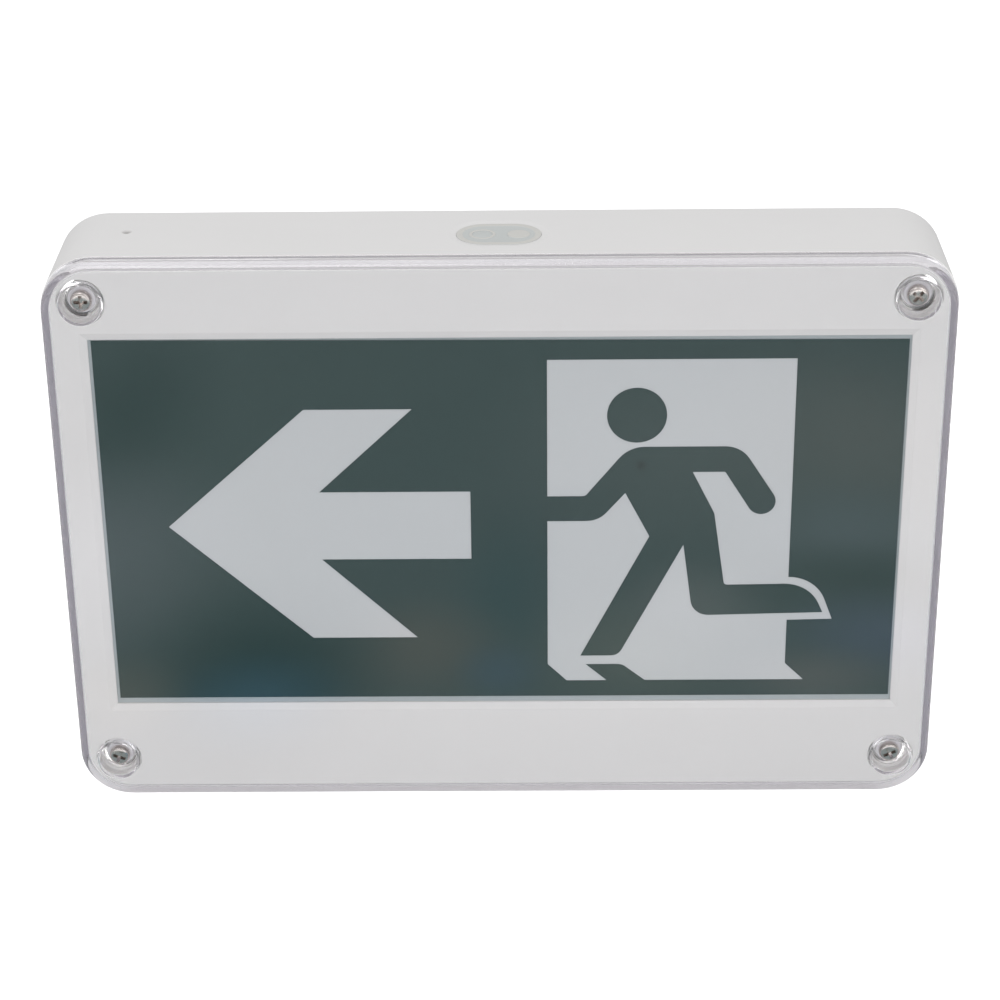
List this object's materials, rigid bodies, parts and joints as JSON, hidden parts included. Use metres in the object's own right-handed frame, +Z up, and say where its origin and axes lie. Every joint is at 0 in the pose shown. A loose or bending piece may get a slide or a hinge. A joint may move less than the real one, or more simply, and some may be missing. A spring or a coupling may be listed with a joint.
{
  "type": "emergency exit light",
  "caption": "Wall-mounted emergency exit sign: sealed white box, clear screwed front cover, green running-figure and arrow legend, test button on top.",
  "frame": {"origin": "centre of the cable entry in the back face, in the plane of the wall", "axes": "+X to the viewer's right along the longest side, +Y into the wall, +Z up; the legend faces -Y"},
  "size_m": [0.3384, 0.0547, 0.2276],
  "materials": {
    "moulded_white": "fine satin moulding",
    "clear_polycarbonate": "clear, glossy",
    "bezel_white": "smooth satin",
    "milky_acrylic": "translucent milky",
    "film_white": "translucent film",
    "legend_green": "printed ink under a smooth film",
    "seal_rubber": "soft silicone",
    "clear_seal": "soft silicone",
    "foam_black": "closed-cell foam",
    "screw_steel": "bright plated",
    "spring_steel": "plated",
    "insert_brass": "knurled",
    "tray_white": "gloss white paint",
    "board_white": "white solder mask",
    "led_yellow": "phosphor",
    "board_green": "green solder mask",
    "transformer_tape": "yellow tape on dark ferrite",
    "capacitor_sleeve": "shrunk sleeve",
    "relay_black": "moulded",
    "terminal_green": "moulded",
    "socket_nylon": "natural nylon",
    "cell_sleeve": "shrunk sleeve",
    "membrane_silicone": "translucent silicone",
    "button_grey": "moulded",
    "lamp_lens": "diffused lens"
  },
  "bodies": {
    "casing": {"housing": "moulded_white", "front_cover": "clear_polycarbonate", "cover_gasket": "seal_rubber", "cover_screws": "screw_steel", "screw_seals": "clear_seal", "threaded_inserts": "insert_brass", "wall_gasket": "foam_black", "bezel": "bezel_white", "diffuser_panel": "milky_acrylic", "legend_film": "film_white", "legend_ink": "legend_green", "panel_clips": "spring_steel", "clip_screws": "screw_steel", "reflector_tray": "tray_white", "tray_screws": "screw_steel", "led_board_upper": "board_white", "led_board_lower": "board_white", "led_packages": "led_yellow", "led_board_screws": "screw_steel", "driver_board": "board_green", "driver_screws": "screw_steel", "transformer": "transformer_tape", "capacitors": "capacitor_sleeve", "relay": "relay_black", "terminal_block": "terminal_green", "terminal_screws": "screw_steel", "battery_socket": "socket_nylon", "battery_cradle": "moulded_white", "battery_cells": "cell_sleeve", "battery_strap": "spring_steel", "battery_strap_screws": "screw_steel", "test_membrane": "membrane_silicone", "test_bracket": "moulded_white", "bracket_screws": "screw_steel", "test_board": "board_green", "test_switch": "relay_black", "lamp_spacer": "socket_nylon", "pilot_lamp": "lamp_lens"},
    "button": {"test_button": "button_grey"}
  },
  "joints": [
    {"name": "test_button_press", "type": "slide", "parent": "casing", "child": "button", "axis": [0, 0, -1], "range_m": [0, 0.001], "stiffness_N_per_m": 1500}
  ]
}
